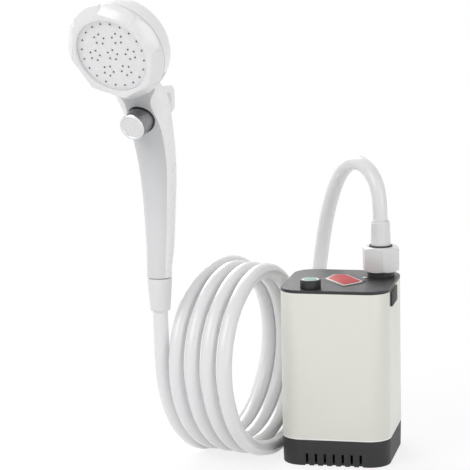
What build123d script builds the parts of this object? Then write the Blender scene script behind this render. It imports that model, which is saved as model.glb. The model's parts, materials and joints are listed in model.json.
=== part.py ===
# Portable camping shower: a battery pump in a square case, a coiled hose and a hand shower.
# Millimetres, +Z up. The origin is the middle of the case's underside, and the slotted front faces -Y.
import os
from math import atan2, cos, degrees, hypot, pi, radians, sin, tan

from build123d import *

os.makedirs("parts", exist_ok=True)

# Clearances
nest = 0.15  # between moulded parts that nest
running = 0.05  # radial, between a turning or sliding part and its seat
face_gap = 0.1  # axial, between faces that slide past each other
press = 0.02  # radial, where a part is pressed or glued in

# Case
case_width = 76.0
case_depth = 76.0
case_corner = 15.0
base_height = 18.5
base_draft = 1.2
base_wall = 3.4
foot_radius = 0.8
floor_thickness = 2.0
lip_height = 5.0
sleeve_wall = 1.8
sleeve_top = 121.4
lid_thickness = 2.2
lid_edge = 0.6
skirt_height = 4.0
skirt_wall = 1.6
slot_count = 7
slot_width = 1.7
slot_height = 8.7
notch_width = 3.0
notch_height = 1.5
strainer_ring = 11.8
strainer_holes = 12
strainer_hole = 1.8

# Tie screws at the middle of each side
screw_inset_side = 7.0
screw_inset_face = 10.0
screw_shift = 6.0
screw_radius = 1.25
screw_head = 2.4
screw_head_height = 2.0
screw_recess = 4.0
screw_bite = 8.0
post_radius = 2.8
boss_radius = 4.0

# Bulkhead, motor and pump
bulkhead_thickness = 4.0
edge_seal = 1.2
motor_radius = 13.85
motor_length = 38.0
terminal_height = 4.0
cup_wall = 1.4
cup_height = 10.0
shaft_radius = 1.15
shaft_seal_radius = 4.5
housing_radius = 17.0
housing_bottom = 6.4
housing_wall = 2.2
rotor_radius = 11.5
rotor_gap = 0.8
inlet_radius = 4.5
blade_count = 6
blade_thickness = 1.0
duct_radius = 3.0
duct_wall = 1.6
tube_bore = 4.0
tube_wall = 1.5

# Battery pack and electronics
cell_radius = 9.2
cell_length = 65.0
cell_inset = 11.4
cell_nub = 2.75
cell_nub_height = 1.0
tray_thickness = 2.5
collar_wall = 1.1
collar_height = 6.0
board_drop = 10.8
board_thickness = 1.6

# Water outlet on the lid
outlet_inset_side = 13.0
outlet_inset_back = 17.2
neck_radius = 9.5
neck_height = 3.6
thread_radius = 10.1
thread_height = 9.8
stub_radius = 4.6
stub_length = 9.0
locknut_radius = 6.2
locknut_height = 3.5
barb_length = 8.0
outlet_bore = 3.2

# Power button, lamp and charging port
button_inset_side = 21.8
button_inset_front = 9.2
collar_radius = 7.2
collar_rise = 6.3
trim_radius = 6.0
trim_width = 1.3
cap_height = 3.4
cap_proud = 0.2
button_travel = 1.2
stem_radius = 2.0
switch_size = 9.0
lamp_step = 9.8
lamp_radius = 1.8
flap_overrun = 0.7
port_width = 14.0
port_height = 4.6
socket_depth = 9.0
flap_width = 25.0
flap_height = 10.6
flap_thickness = 1.2
flap_plug = 1.8

# Hose and its fittings
hose_radius = 5.25
hose_bore = 3.5
nut_flats = 24.2
nut_turn = 45.2
nut_lift = 3.4
nut_height = 17.5
nut_chamfer = 1.3
nut_mouth = 8.2
nut_roof = 3.3
washer_thickness = 2.0
flange_thickness = 2.0
insert_flange = 9.7
insert_bore = 2.4
barb_reach = 15.0
ferrule_radius = 7.0
ferrule_taper = 0.35
ferrule_height = 21.4

# Coil, four turns that stand on their edge beside the case
coil_x = -91.6
coil_y = -1.4
coil_heading = -20.0
coil_radius = 64.0
coil_pitch = 13.0
coil_turns = 4
coil_start = 2.0
wall_gap = 0.9

# Hand shower, in its own frame: +Z up the handle, -Y where the face looks
handset_x = -115.35
handset_y = -56.83
handset_z = 135.05
handset_turn = -14.0
shell_wall = 2.2
handle_end_radius = 8.7
face_tilt = 23.0
face_forward = 54.3
face_up = 156.05
neck_sink = 11.6
neck_back = 21.3
plate_inset = 6.2
plate_thickness = 2.6
spray_inset = 5.8
spray_ring_holes = 20
cluster_count = 6
cluster_holes = 5
nozzle_radius = 0.5
lip_inset = 8.6
lip_rise = 2.5
facet_inset = 6.0
facet_drop = 5.0
ring_radius = 34.4
ring_back = 5.9
ring_skirt = 1.9
notch_count = 8
notch_spread = 62.0
notch_turn = 4.5
dome_depth = 31.0
chamber_depth = 6.2
chamber_wall = 2.0
gasket_thickness = 1.2
shelf_thickness = 2.5
hook_width = 15.0
hook_thickness = 4.8
hook_clearance = 9.6
hook_rise = 129.5
hook_reach = 18.4
hook_slant = 3.3
hook_round = 6.0

# Stop button in the neck of the hand shower
stop_forward = 19.9
stop_up = 110.05
stop_tilt = 18.7
stop_radius = 9.0
stop_proud = 13.3
stop_travel = 2.5
stop_skirt = 2.5
stop_wall = 1.4
bezel_width = 0.9
bezel_depth = 4.0
valve_radius = 5.5
valve_length = 7.0
valve_bore = 4.0
valve_wall = 1.0
piston_thickness = 0.8
piston_seal = 1.4
rod_radius = 2.0
spring_radius = 4.4
spring_wire = 0.5
spring_turns = 5
flow_tube = 3.0
flow_bore = 2.0
flow_rise = 14.0
feed_reach = 8.0

# Cone nut that holds the hose to the handle
cone_top = 8.65
cone_bottom = 6.85
cone_length = 22.7
cone_gap = 0.6
cone_chamfer = 0.5
spigot_radius = 6.4
spigot_length = 8.0
spigot_neck = 5.2

# Sizes that follow
lid_top = sleeve_top + lid_thickness
inner_width = case_width - 2 * sleeve_wall
inner_depth = case_depth - 2 * sleeve_wall
inner_corner = case_corner - sleeve_wall
nested_width = inner_width - 2 * nest
nested_depth = inner_depth - 2 * nest
nested_corner = inner_corner - nest
chamber_width = case_width - 2 * base_wall
chamber_depth_y = case_depth - 2 * base_wall
chamber_corner = case_corner - base_wall
plug_width = chamber_width - 2 * nest
plug_depth = chamber_depth_y - 2 * nest
plug_corner = chamber_corner - nest
floor_top = floor_thickness
bulkhead_top = base_height + bulkhead_thickness
slot_pitch = (case_width - 2 * case_corner) / (slot_count + 0.36)
screw_x = case_width / 2 - screw_inset_side
screw_y = case_depth / 2 - screw_inset_face
screw_places = [(-screw_x, screw_shift), (screw_x, screw_shift), (0, -screw_y), (0, screw_y)]
outlet_x = case_width / 2 - outlet_inset_side
outlet_y = case_depth / 2 - outlet_inset_back
button_x = button_inset_side - case_width / 2
button_y = button_inset_front - case_depth / 2
lamp_x = outlet_x - lamp_step
lamp_y = outlet_y - lamp_step
port_y = case_corner + flap_width / 2 - flap_overrun - case_depth / 2
board_height = sleeve_top - board_drop
board_top = board_height + board_thickness
cell_x = inner_width / 2 - cell_inset
cell_y = inner_depth / 2 - cell_inset
cell_places = [(-cell_x, -cell_y), (cell_x, -cell_y), (-cell_x, cell_y)]
post_top = board_height
nut_bottom = lid_top + nut_lift
washer_bottom = lid_top + neck_height + thread_height
flange_bottom = washer_bottom + washer_thickness
hose_start = flange_bottom + flange_thickness
ferrule_top = hose_start + ferrule_height
cone_insert_top = -cone_gap - spigot_length - washer_thickness
hose_end = cone_insert_top - flange_thickness
handset_place = Location((handset_x, handset_y, handset_z), (0, 0, handset_turn))
face_slope = radians(face_tilt)
stop_slope = radians(stop_tilt)


# Base: a slotted strainer cup that the water enters
with BuildPart() as base:
    with BuildSketch(Plane.XY.offset(base_height)):
        RectangleRounded(case_width, case_depth, case_corner)
    extrude(amount=-base_height, taper=base_draft)
    fillet(base.faces().sort_by(Axis.Z)[0].edges(), foot_radius)
    with BuildSketch(Plane.XY.offset(base_height)):
        RectangleRounded(nested_width, nested_depth, nested_corner)
    extrude(amount=lip_height)
    with BuildSketch(Plane.XY.offset(floor_top)):
        RectangleRounded(chamber_width, chamber_depth_y, chamber_corner)
    extrude(amount=base_height + lip_height - floor_top, mode=Mode.SUBTRACT)
    with BuildSketch(Plane.XY.offset(floor_top)):
        with Locations(*screw_places):
            Circle(boss_radius)
    extrude(amount=base_height - floor_top)
    with BuildSketch(Plane.XY):
        with Locations(*screw_places):
            Circle(screw_radius + nest)
        with PolarLocations(strainer_ring, strainer_holes):
            Circle(strainer_hole)
    extrude(amount=base_height, mode=Mode.SUBTRACT)
    with BuildSketch(Plane.XY):
        with Locations(*screw_places):
            Circle(screw_head + nest)
    extrude(amount=screw_recess, mode=Mode.SUBTRACT)
    for side in (-1, 1):
        face = Plane(origin=(0, side * case_depth / 2, 0), x_dir=(1, 0, 0), z_dir=(0, side, 0))
        up = -side
        with BuildSketch(face):
            with GridLocations(slot_pitch, 0, slot_count, 1):
                Rectangle(slot_width, 2 * slot_height)
                Rectangle(notch_width, 2 * notch_height)
        extrude(amount=-base_wall - nest, mode=Mode.SUBTRACT)
base.part.label = "base_strainer"
export_step(base.part, "parts/base_strainer.step")

# Bulkhead: closes the dry case above the wet base and holds the motor
with BuildPart() as bulkhead:
    with BuildSketch(Plane.XY.offset(base_height)):
        RectangleRounded(plug_width, plug_depth, plug_corner)
    extrude(amount=bulkhead_thickness)
    with BuildSketch(Plane.XY.offset(base_height + (bulkhead_thickness - edge_seal) / 2)):
        RectangleRounded(plug_width, plug_depth, plug_corner)
        RectangleRounded(
            plug_width - 2 * edge_seal, plug_depth - 2 * edge_seal, plug_corner - edge_seal, mode=Mode.SUBTRACT
        )
    extrude(amount=edge_seal, mode=Mode.SUBTRACT)
    with BuildSketch(Plane.XY.offset(bulkhead_top)):
        Circle(motor_radius + nest + cup_wall)
        Circle(motor_radius + nest, mode=Mode.SUBTRACT)
    extrude(amount=cup_height)
    with BuildSketch(Plane.XY.offset(base_height)):
        Circle(shaft_radius + running)
        with Locations(*screw_places):
            Circle(screw_radius + nest)
        with Locations((outlet_x, outlet_y)):
            Circle(tube_bore + nest)
    extrude(amount=bulkhead_thickness, mode=Mode.SUBTRACT)
    with BuildSketch(Plane.XY.offset(base_height + rotor_gap)):
        Circle(shaft_seal_radius + press)
    extrude(amount=bulkhead_thickness, mode=Mode.SUBTRACT)
bulkhead.part.label = "bulkhead"
export_step(bulkhead.part, "parts/bulkhead.step")

# Seal in the groove round the bulkhead
with BuildPart() as bulkhead_seal:
    with BuildSketch(Plane.XY.offset(base_height + (bulkhead_thickness - edge_seal) / 2)):
        RectangleRounded(chamber_width - 2 * press, chamber_depth_y - 2 * press, chamber_corner - press)
        RectangleRounded(
            plug_width - 2 * edge_seal, plug_depth - 2 * edge_seal, plug_corner - edge_seal, mode=Mode.SUBTRACT
        )
    extrude(amount=edge_seal)
bulkhead_seal.part.label = "bulkhead_seal"
export_step(bulkhead_seal.part, "parts/bulkhead_seal.step")

# Pump housing under the bulkhead, with its inlet snout and the duct to the outlet corner
duct_length = hypot(outlet_x, outlet_y)
duct_angle = degrees(atan2(outlet_y, outlet_x))
duct_middle = Location((outlet_x / 2, outlet_y / 2, 0), (0, 0, duct_angle))
rotor_bottom = housing_bottom + housing_wall
rotor_top = base_height - housing_wall
with BuildPart() as pump_housing:
    with BuildSketch(Plane.XY.offset(housing_bottom)):
        Circle(housing_radius)
        with Locations(duct_middle):
            Rectangle(duct_length, 2 * (duct_radius + duct_wall))
        with Locations((outlet_x, outlet_y)):
            Circle(duct_radius + duct_wall)
    extrude(amount=base_height - housing_bottom)
    with BuildSketch(Plane.XY.offset(floor_top + rotor_gap)):
        Circle(inlet_radius + duct_wall)
    extrude(amount=housing_bottom - floor_top - rotor_gap)
    with BuildSketch(Plane.XY.offset(rotor_bottom)):
        Circle(rotor_radius + rotor_gap)
        with Locations(duct_middle):
            Rectangle(duct_length, 2 * duct_radius)
        with Locations((outlet_x, outlet_y)):
            Circle(duct_radius)
    extrude(amount=rotor_top - rotor_bottom, mode=Mode.SUBTRACT)
    with BuildSketch(Plane.XY.offset(floor_top)):
        Circle(inlet_radius)
    extrude(amount=rotor_bottom - floor_top, mode=Mode.SUBTRACT)
    with BuildSketch(Plane.XY.offset(rotor_top)):
        Circle(shaft_radius + running)
    extrude(amount=housing_wall, mode=Mode.SUBTRACT)
    with BuildSketch(Plane.XY.offset(base_height)):
        with Locations((outlet_x, outlet_y)):
            Circle(tube_bore)
    extrude(amount=bulkhead_thickness + barb_length)
    with BuildSketch(Plane.XY.offset(rotor_top)):
        with Locations((outlet_x, outlet_y)):
            Circle(duct_radius)
    extrude(amount=bulkhead_top + barb_length - rotor_top, mode=Mode.SUBTRACT)
pump_housing.part.label = "pump_housing"
export_step(pump_housing.part, "parts/pump_housing.step")

# Impeller: a backed rotor with raked blades
with BuildPart() as impeller:
    with BuildSketch(Plane.XY.offset(rotor_top - rotor_gap - blade_thickness)):
        Circle(rotor_radius)
    extrude(amount=blade_thickness)
    with BuildSketch(Plane.XY.offset(rotor_bottom + rotor_gap)):
        Circle(shaft_radius + 2 * blade_thickness)
        with PolarLocations(rotor_radius * 0.6, blade_count):
            Rectangle(rotor_radius * 0.72, blade_thickness, rotation=35)
    extrude(amount=rotor_top - rotor_bottom - 2 * rotor_gap)
    with BuildSketch(Plane.XY.offset(rotor_bottom)):
        Circle(shaft_radius + press)
    extrude(amount=rotor_top - rotor_bottom, mode=Mode.SUBTRACT)
impeller.part.label = "impeller"
export_step(impeller.part, "parts/impeller.step")

# Motor, its shaft and the lip seal between motor and pump
motor_top = bulkhead_top + motor_length
with BuildPart() as motor:
    with BuildSketch(Plane.XY.offset(bulkhead_top)):
        Circle(motor_radius)
    extrude(amount=motor_length)
    fillet(motor.edges(), cup_wall)
    with BuildSketch(Plane.XY.offset(motor_top)):
        with PolarLocations(motor_radius * 0.65, 2):
            Rectangle(0.6, 3)
    extrude(amount=terminal_height)
    with BuildSketch(Plane.XY.offset(bulkhead_top)):
        Circle(shaft_radius + running)
    extrude(amount=motor_length, mode=Mode.SUBTRACT)
motor.part.label = "motor"
export_step(motor.part, "parts/motor.step")

with BuildPart() as motor_shaft:
    with BuildSketch(Plane.XY.offset(rotor_bottom + rotor_gap)):
        Circle(shaft_radius)
    extrude(amount=motor_top + rotor_gap - rotor_bottom)
motor_shaft.part.label = "motor_shaft"
export_step(motor_shaft.part, "parts/motor_shaft.step")

with BuildPart() as shaft_seal:
    with BuildSketch(Plane.XY.offset(base_height + rotor_gap)):
        Circle(shaft_seal_radius)
        Circle(shaft_radius + running, mode=Mode.SUBTRACT)
    extrude(amount=bulkhead_thickness - rotor_gap)
shaft_seal.part.label = "shaft_seal"
export_step(shaft_seal.part, "parts/shaft_seal.step")

# Battery holder: two trays on four posts, with a collar round the foot of each cell
cell_bottom = bulkhead_top + tray_thickness
cell_top = cell_bottom + cell_length
upper_tray = cell_top + cell_nub_height
with BuildPart() as battery_holder:
    for level in (bulkhead_top, upper_tray):
        with BuildSketch(Plane.XY.offset(level)):
            RectangleRounded(nested_width, nested_depth, nested_corner)
            Circle(motor_radius + cup_wall + 2 * nest, mode=Mode.SUBTRACT)
            with Locations((outlet_x, outlet_y)):
                Circle(tube_bore + tube_wall + 2 * nest, mode=Mode.SUBTRACT)
        extrude(amount=tray_thickness)
    with BuildSketch(Plane.XY.offset(bulkhead_top)):
        RectangleRounded(nested_width, nested_depth, nested_corner)
        RectangleRounded(
            plug_width,
            plug_depth,
            plug_corner,
            mode=Mode.SUBTRACT,
        )
    extrude(amount=base_height + lip_height + nest - bulkhead_top, mode=Mode.SUBTRACT)
    with BuildSketch(Plane.XY.offset(cell_bottom)):
        with Locations(*cell_places):
            Circle(cell_radius + nest + collar_wall)
        Circle(motor_radius + cup_wall + 2 * nest, mode=Mode.SUBTRACT)
    extrude(amount=collar_height)
    with BuildSketch(Plane.XY.offset(bulkhead_top)):
        with Locations(*screw_places):
            Circle(post_radius)
    extrude(amount=post_top - bulkhead_top)
    with BuildSketch(Plane.XY.offset(cell_bottom)):
        with Locations(*cell_places):
            Circle(cell_radius + nest)
    extrude(amount=collar_height, mode=Mode.SUBTRACT)
    with BuildSketch(Plane.XY.offset(bulkhead_top)):
        with Locations(*screw_places):
            Circle(screw_radius + nest)
    extrude(amount=post_top - bulkhead_top, mode=Mode.SUBTRACT)
battery_holder.part.label = "battery_holder"
export_step(battery_holder.part, "parts/battery_holder.step")

with BuildPart() as battery_cells:
    with BuildSketch(Plane.XY.offset(cell_bottom)):
        with Locations(*cell_places):
            Circle(cell_radius)
    extrude(amount=cell_length)
    fillet(battery_cells.edges().filter_by(GeomType.CIRCLE), 0.6)
    with BuildSketch(Plane.XY.offset(cell_top)):
        with Locations(*cell_places):
            Circle(cell_nub)
    extrude(amount=cell_nub_height)
battery_cells.part.label = "battery_cells"
export_step(battery_cells.part, "parts/battery_cells.step")

# Circuit board across the posts, with the charging socket and the switch on it
with BuildPart() as circuit_board:
    with BuildSketch(Plane.XY.offset(board_height)):
        RectangleRounded(chamber_width, chamber_depth_y, chamber_corner)
        with Locations((outlet_x, outlet_y)):
            Circle(locknut_radius + nest, mode=Mode.SUBTRACT)
        with Locations(*screw_places):
            Circle(screw_radius + nest, mode=Mode.SUBTRACT)
    extrude(amount=board_thickness)
circuit_board.part.label = "circuit_board"
export_step(circuit_board.part, "parts/circuit_board.step")

socket_face = inner_width / 2 - nest
with BuildPart() as charge_socket:
    with BuildSketch(Plane.XY.offset(board_top)):
        with Locations((socket_face - socket_depth / 2, port_y)):
            Rectangle(socket_depth, port_width - 2 * nest)
    extrude(amount=port_height)
    mouth = Plane(origin=(socket_face, port_y, board_top + port_height / 2), x_dir=(0, 1, 0), z_dir=(1, 0, 0))
    with BuildSketch(mouth):
        SlotOverall(port_width * 0.64, port_height * 0.55)
    extrude(amount=-socket_depth * 0.7, mode=Mode.SUBTRACT)
charge_socket.part.label = "charge_socket"
export_step(charge_socket.part, "parts/charge_socket.step")

switch_top = sleeve_top - button_travel - face_gap
with BuildPart() as switch_body:
    with BuildSketch(Plane.XY.offset(board_top)):
        with Locations((button_x, button_y)):
            RectangleRounded(switch_size, switch_size - 1, 0.8)
            Circle(stem_radius + running, mode=Mode.SUBTRACT)
    extrude(amount=switch_top - board_top)
switch_body.part.label = "switch_body"
export_step(switch_body.part, "parts/switch_body.step")

# Sleeve: the painted tube of the case, with the charging port cut through its right side
port_plane = Plane(origin=(case_width / 2, port_y, board_top + port_height / 2), x_dir=(0, 1, 0), z_dir=(1, 0, 0))
with BuildPart() as sleeve:
    with BuildSketch(Plane.XY.offset(base_height)):
        RectangleRounded(case_width, case_depth, case_corner)
        RectangleRounded(inner_width, inner_depth, inner_corner, mode=Mode.SUBTRACT)
    extrude(amount=sleeve_top - base_height)
    with BuildSketch(port_plane):
        RectangleRounded(port_width, port_height, 1)
    extrude(amount=-2 * sleeve_wall, mode=Mode.SUBTRACT)
sleeve.part.label = "case_sleeve"
export_step(sleeve.part, "parts/case_sleeve.step")

# Lid: a flat black cap with a skirt that plugs the sleeve and bosses for the tie screws
with BuildPart() as lid:
    with BuildSketch(Plane.XY.offset(sleeve_top)):
        RectangleRounded(case_width, case_depth, case_corner)
    extrude(amount=lid_thickness)
    fillet(lid.faces().sort_by(Axis.Z)[-1].edges(), lid_edge)
    with BuildSketch(Plane.XY.offset(sleeve_top)):
        RectangleRounded(nested_width, nested_depth, nested_corner)
        RectangleRounded(
            nested_width - 2 * skirt_wall, nested_depth - 2 * skirt_wall, nested_corner - skirt_wall, mode=Mode.SUBTRACT
        )
    extrude(amount=-skirt_height)
    with BuildSketch(Plane.XY.offset(sleeve_top)):
        with Locations(*screw_places):
            Circle(post_radius)
    extrude(amount=board_top - sleeve_top)
    with BuildSketch(Plane.XY.offset(sleeve_top - skirt_height / 2 - edge_seal / 2)):
        RectangleRounded(case_width, case_depth, case_corner)
        RectangleRounded(
            nested_width - skirt_wall, nested_depth - skirt_wall, nested_corner - skirt_wall / 2, mode=Mode.SUBTRACT
        )
    extrude(amount=edge_seal, mode=Mode.SUBTRACT)
    with BuildSketch(Plane.XY.offset(board_top)):
        with Locations(*screw_places):
            Circle(screw_radius + press)
    extrude(amount=screw_bite, mode=Mode.SUBTRACT)
    with BuildSketch(Plane.XY.offset(sleeve_top)):
        with Locations((outlet_x, outlet_y)):
            Circle(stub_radius + nest)
        with Locations((button_x, button_y)):
            Circle(stem_radius + 2 * nest)
        with Locations((lamp_x, lamp_y)):
            Circle(lamp_radius + press)
    extrude(amount=lid_thickness, mode=Mode.SUBTRACT)
lid.part.label = "lid"
export_step(lid.part, "parts/lid.step")

with BuildPart() as lid_gasket:
    with BuildSketch(Plane.XY.offset(sleeve_top - skirt_height / 2 - edge_seal / 2)):
        RectangleRounded(inner_width - 2 * press, inner_depth - 2 * press, inner_corner - press)
        RectangleRounded(
            nested_width - skirt_wall, nested_depth - skirt_wall, nested_corner - skirt_wall / 2, mode=Mode.SUBTRACT
        )
    extrude(amount=edge_seal)
lid_gasket.part.label = "lid_gasket"
export_step(lid_gasket.part, "parts/lid_gasket.step")

# Four long tie screws from the base up into the lid's bosses, one near the middle of each side
head_top = screw_recess
with BuildPart() as case_screws:
    with BuildSketch(Plane.XY.offset(head_top - screw_head_height)):
        with Locations(*screw_places):
            Circle(screw_head)
            RegularPolygon(screw_head / 2, 6, mode=Mode.SUBTRACT)
    extrude(amount=screw_head_height)
    with BuildSketch(Plane.XY.offset(head_top - screw_head_height / 2)):
        with Locations(*screw_places):
            Circle(screw_head)
    extrude(amount=screw_head_height / 2)
    with BuildSketch(Plane.XY.offset(head_top)):
        with Locations(*screw_places):
            Circle(screw_radius)
    extrude(amount=board_top + screw_bite - face_gap - head_top)
case_screws.part.label = "case_screws"
export_step(case_screws.part, "parts/case_screws.step")

# Power button: black collar on the lid, bright trim ring, green cap, stem and switch plunger
collar_top = lid_top + collar_rise
cap_radius = trim_radius - trim_width - 0.1
cap_top = collar_top + cap_proud
cap_bottom = cap_top - cap_height
with BuildPart() as button_collar:
    with BuildSketch(Plane.XY.offset(lid_top)):
        with Locations((button_x, button_y)):
            Circle(collar_radius)
    extrude(amount=collar_rise)
    fillet(button_collar.faces().sort_by(Axis.Z)[-1].edges(), 0.4)
    with BuildSketch(Plane.XY.offset(collar_top - 2)):
        with Locations((button_x, button_y)):
            Circle(trim_radius + press)
    extrude(amount=2, mode=Mode.SUBTRACT)
    with BuildSketch(Plane.XY.offset(lid_top + 1)):
        with Locations((button_x, button_y)):
            Circle(cap_radius + running)
    extrude(amount=collar_rise, mode=Mode.SUBTRACT)
    with BuildSketch(Plane.XY.offset(lid_top)):
        with Locations((button_x, button_y)):
            Circle(stem_radius + running)
    extrude(amount=1, mode=Mode.SUBTRACT)
button_collar.part.label = "button_collar"
export_step(button_collar.part, "parts/button_collar.step")

with BuildPart() as button_trim:
    with BuildSketch(Plane.XY.offset(collar_top - 2)):
        with Locations((button_x, button_y)):
            Circle(trim_radius)
            Circle(cap_radius + running, mode=Mode.SUBTRACT)
    extrude(amount=2)
    fillet(button_trim.faces().sort_by(Axis.Z)[-1].edges(), 0.3)
button_trim.part.label = "button_trim"
export_step(button_trim.part, "parts/button_trim.step")

with BuildPart() as power_button:
    with BuildSketch(Plane.XY.offset(cap_bottom)):
        with Locations((button_x, button_y)):
            Circle(cap_radius)
    extrude(amount=cap_height)
    fillet(power_button.faces().sort_by(Axis.Z)[-1].edges(), 0.5)
    with BuildSketch(Plane.XY.offset(sleeve_top)):
        with Locations((button_x, button_y)):
            Circle(stem_radius)
    extrude(amount=cap_bottom - sleeve_top)
power_button.part.label = "power_button"
export_step(power_button.part, "parts/power_button.step")

with BuildPart() as switch_plunger:
    with BuildSketch(Plane.XY.offset(board_top + 2 * button_travel)):
        with Locations((button_x, button_y)):
            Circle(stem_radius)
    extrude(amount=sleeve_top - board_top - 2 * button_travel)
switch_plunger.part.label = "switch_plunger"
export_step(switch_plunger.part, "parts/switch_plunger.step")

with BuildPart() as button_seal:
    with BuildSketch(Plane.XY.offset(sleeve_top + lid_thickness / 2)):
        with Locations((button_x, button_y)):
            Circle(stem_radius + 2 * nest - press)
            Circle(stem_radius + running, mode=Mode.SUBTRACT)
    extrude(amount=lid_thickness / 2)
button_seal.part.label = "button_seal"
export_step(button_seal.part, "parts/button_seal.step")

with BuildPart() as lamp_lens:
    with BuildSketch(Plane.XY.offset(sleeve_top)):
        with Locations((lamp_x, lamp_y)):
            Circle(lamp_radius)
    extrude(amount=lid_thickness + 0.3)
    fillet(lamp_lens.faces().sort_by(Axis.Z)[-1].edges(), 0.25)
lamp_lens.part.label = "lamp_lens"
export_step(lamp_lens.part, "parts/lamp_lens.step")

# Rubber flap over the charging port; it swings on the rounded bead along its top edge
flap_top = sleeve_top - face_gap
flap_inner = case_width / 2 + nest
hinge_height = flap_top - flap_thickness / 2
with BuildPart() as port_cover:
    flap_face = Plane(
        origin=(flap_inner, port_y, flap_top - flap_height / 2), x_dir=(0, 1, 0), z_dir=(1, 0, 0)
    )
    with BuildSketch(flap_face):
        Rectangle(flap_width, flap_height)
    extrude(amount=flap_thickness)
    fillet(port_cover.edges().filter_by(Axis.Y).group_by(Axis.Z)[-1], flap_thickness / 2 - press)
    fillet(port_cover.edges().filter_by(Axis.X).group_by(Axis.Z)[0], 1.5)
    plug_face = Plane(
        origin=(flap_inner, port_y, board_top + port_height / 2), x_dir=(0, 1, 0), z_dir=(-1, 0, 0)
    )
    with BuildSketch(plug_face):
        RectangleRounded(port_width - 8 * nest, port_height - 10 * nest, 0.8)
    extrude(amount=flap_plug)
port_cover.part.label = "port_cover"
export_step(port_cover.part, "parts/port_cover.step")

# Outlet spigot through the lid's corner, its ring seal, its lock nut and the tube from the pump
with BuildPart() as outlet_spigot:
    with BuildSketch(Plane.XY.offset(lid_top)):
        with Locations((outlet_x, outlet_y)):
            Circle(neck_radius)
    extrude(amount=neck_height)
    with BuildSketch(Plane.XY.offset(lid_top + neck_height)):
        with Locations((outlet_x, outlet_y)):
            Circle(thread_radius)
    extrude(amount=thread_height)
    chamfer(outlet_spigot.faces().sort_by(Axis.Z)[-1].edges(), 0.8)
    with BuildSketch(Plane.XY.offset(lid_top)):
        with Locations((outlet_x, outlet_y)):
            Circle(stub_radius)
    extrude(amount=-stub_length)
    with BuildSketch(Plane.XY.offset(lid_top - stub_length)):
        with Locations((outlet_x, outlet_y)):
            Circle(tube_bore)
    extrude(amount=-barb_length)
    with BuildSketch(Plane.XY.offset(lid_top)):
        with Locations((outlet_x, outlet_y)):
            Circle(neck_radius - 1)
            Circle(neck_radius - 1 - edge_seal, mode=Mode.SUBTRACT)
    extrude(amount=edge_seal / 2, mode=Mode.SUBTRACT)
    with BuildSketch(Plane.XY.offset(lid_top - stub_length - barb_length)):
        with Locations((outlet_x, outlet_y)):
            Circle(outlet_bore)
    extrude(amount=stub_length + barb_length + neck_height + thread_height, mode=Mode.SUBTRACT)
outlet_spigot.part.label = "outlet_spigot"
export_step(outlet_spigot.part, "parts/outlet_spigot.step")

with BuildPart() as spigot_seal:
    with BuildSketch(Plane.XY.offset(lid_top)):
        with Locations((outlet_x, outlet_y)):
            Circle(neck_radius - 1)
            Circle(neck_radius - 1 - edge_seal, mode=Mode.SUBTRACT)
    extrude(amount=edge_seal / 2)
spigot_seal.part.label = "spigot_seal"
export_step(spigot_seal.part, "parts/spigot_seal.step")

with BuildPart() as spigot_locknut:
    with BuildSketch(Plane.XY.offset(sleeve_top)):
        with Locations((outlet_x, outlet_y)):
            RegularPolygon(locknut_radius, 6)
            Circle(stub_radius + press, mode=Mode.SUBTRACT)
    extrude(amount=-locknut_height)
spigot_locknut.part.label = "spigot_locknut"
export_step(spigot_locknut.part, "parts/spigot_locknut.step")

with BuildPart() as outlet_tube:
    with BuildSketch(Plane.XY.offset(bulkhead_top)):
        with Locations((outlet_x, outlet_y)):
            Circle(tube_bore + tube_wall)
            Circle(tube_bore + press, mode=Mode.SUBTRACT)
    extrude(amount=lid_top - stub_length - bulkhead_top)
outlet_tube.part.label = "outlet_tube"
export_step(outlet_tube.part, "parts/outlet_tube.step")

# Hose nut: a chamfered hexagon that turns on the hose's insert and screws on the spigot
outlet_axis = Axis((outlet_x, outlet_y, 0), (0, 0, 1))
outlet_section = Plane(origin=(outlet_x, outlet_y, 0), x_dir=(1, 0, 0), z_dir=(0, -1, 0))
nut_corner = nut_flats / 2 / cos(radians(30))
nut_top = nut_bottom + nut_height
with BuildPart() as hose_nut:
    with BuildSketch(Plane.XY.offset(nut_bottom)):
        with Locations((outlet_x, outlet_y)):
            RegularPolygon(nut_corner, 6, rotation=nut_turn)
    extrude(amount=nut_height)
    with BuildSketch(outlet_section):
        with BuildLine():
            Polyline(
                (0, nut_bottom),
                (nut_corner - 2 * nut_chamfer, nut_bottom),
                (nut_corner, nut_bottom + nut_chamfer),
                (nut_corner, nut_top - nut_chamfer),
                (nut_corner - 2 * nut_chamfer, nut_top),
                (0, nut_top),
                close=True,
            )
        make_face()
    revolve(axis=outlet_axis, mode=Mode.INTERSECT)
    with BuildSketch(Plane.XY.offset(nut_bottom)):
        with Locations((outlet_x, outlet_y)):
            Circle(thread_radius + running)
    extrude(amount=nut_height - nut_roof, mode=Mode.SUBTRACT)
    with BuildSketch(Plane.XY.offset(nut_bottom)):
        with Locations((outlet_x, outlet_y)):
            Circle(nut_mouth)
    extrude(amount=nut_height, mode=Mode.SUBTRACT)
hose_nut.part.label = "hose_nut"
export_step(hose_nut.part, "parts/hose_nut.step")

with BuildPart() as hose_washer:
    with BuildSketch(Plane.XY.offset(washer_bottom)):
        with Locations((outlet_x, outlet_y)):
            Circle(insert_flange)
            Circle(outlet_bore, mode=Mode.SUBTRACT)
    extrude(amount=washer_thickness)
hose_washer.part.label = "hose_washer"
export_step(hose_washer.part, "parts/hose_washer.step")


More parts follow.
